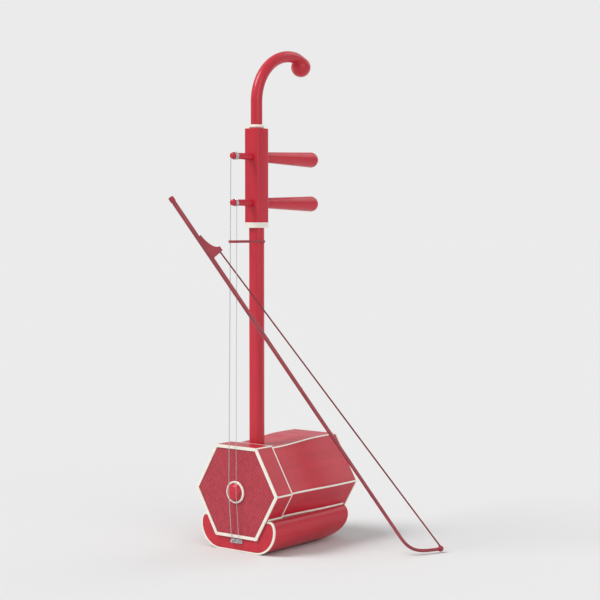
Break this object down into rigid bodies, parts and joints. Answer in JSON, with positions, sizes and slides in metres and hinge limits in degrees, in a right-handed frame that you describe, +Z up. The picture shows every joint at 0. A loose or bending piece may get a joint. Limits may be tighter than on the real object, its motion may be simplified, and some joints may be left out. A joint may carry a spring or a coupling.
{
  "type": "erhu",
  "caption": "Erhu, a two-stringed spike fiddle with a hexagonal skin-faced sound box on a cradle base, tuning pegs, scroll head and a bow threaded between the strings.",
  "frame": {"origin": "underside of the base, below the axis of the neck", "axes": "-Y is the front, which the skin faces; +Y is the back, where the pegs point; +Z is up along the neck; +X is to the right as seen from the front"},
  "size_m": [0.3549, 0.2834, 0.8115],
  "materials": {
    "crimson_lacquer": "glossy crimson lacquer over fine-grained hardwood",
    "bow_bamboo": "dark crimson stained bamboo",
    "python_skin": "stretched scaled skin, dyed crimson, satin",
    "bone": "polished pale bone",
    "steel_string": "bright wire",
    "brass": "polished",
    "silk_thread": "twisted crimson silk",
    "horsehair": "horse hair, dyed crimson"
  },
  "bodies": {
    "instrument": {"stave_upper_right": "crimson_lacquer", "stave_top": "crimson_lacquer", "stave_upper_left": "crimson_lacquer", "stave_lower_left": "crimson_lacquer", "stave_bottom": "crimson_lacquer", "stave_lower_right": "crimson_lacquer", "edge_strip_right": "bone", "band_strip_right": "bone", "edge_strip_top_right": "bone", "band_strip_top_right": "bone", "edge_strip_top_left": "bone", "band_strip_top_left": "bone", "edge_strip_left": "bone", "band_strip_left": "bone", "edge_strip_bottom_left": "bone", "band_strip_bottom_left": "bone", "edge_strip_bottom_right": "bone", "band_strip_bottom_right": "bone", "front_band": "crimson_lacquer", "sound_window": "crimson_lacquer", "base": "crimson_lacquer", "neck": "crimson_lacquer", "peg_box": "crimson_lacquer", "head_scroll": "crimson_lacquer", "bridge": "crimson_lacquer", "front_binding": "bone", "band_binding": "bone", "back_binding": "bone", "lower_collar": "bone", "upper_collar": "bone", "bridge_ring": "bone", "base_edging": "bone", "cradle_bead_left": "bone", "cradle_bead_right": "bone", "skin": "python_skin", "base_screw_front": "brass", "base_screw_rear": "brass", "inner_string": "steel_string", "outer_string": "steel_string", "inner_string_tail": "steel_string", "outer_string_tail": "steel_string", "string_hook": "steel_string"},
    "upper_peg": {"upper_peg": "crimson_lacquer", "inner_string_winding": "steel_string"},
    "lower_peg": {"lower_peg": "crimson_lacquer", "outer_string_winding": "steel_string"},
    "qianjin": {"qianjin": "silk_thread"},
    "bow": {"bow_stick": "bow_bamboo", "bow_hair": "horsehair", "bow_tip": "bow_bamboo"},
    "frog": {"frog": "bow_bamboo", "frog_eyelet": "brass"},
    "bow_screw": {"bow_screw": "brass", "bow_button": "bow_bamboo"}
  },
  "joints": [
    {"name": "upper_peg_turn", "type": "hinge", "parent": "instrument", "child": "upper_peg", "pos_m": [0, 0, 0.6341], "axis": [0, 1, 0], "continuous": true},
    {"name": "lower_peg_turn", "type": "hinge", "parent": "instrument", "child": "lower_peg", "pos_m": [0, 0, 0.5601], "axis": [0, 1, 0], "continuous": true},
    {"name": "qianjin_slide", "type": "slide", "parent": "instrument", "child": "qianjin", "axis": [0, 0, 1], "range_m": [-0.02, 0.012]},
    {"name": "bow_stroke", "type": "slide", "parent": "instrument", "child": "bow", "axis": [-0.4709, -0.3679, 0.8018], "range_m": [0, 0.42]},
    {"name": "bow_screw_turn", "type": "hinge", "parent": "bow", "child": "bow_screw", "pos_m": [-0.06956, -0.12058, 0.55972], "axis": [0.4576, 0.3238, -0.8281], "range_deg": [0, 2160]},
    {"name": "frog_slide", "type": "slide", "parent": "bow", "child": "frog", "axis": [-0.4576, -0.3238, 0.8281], "range_m": [0, 0.0042]}
  ],
  "couplings": [
    {"joint": "bow_screw_turn", "follows": "frog_slide", "rad_per_m": 8976}
  ]
}
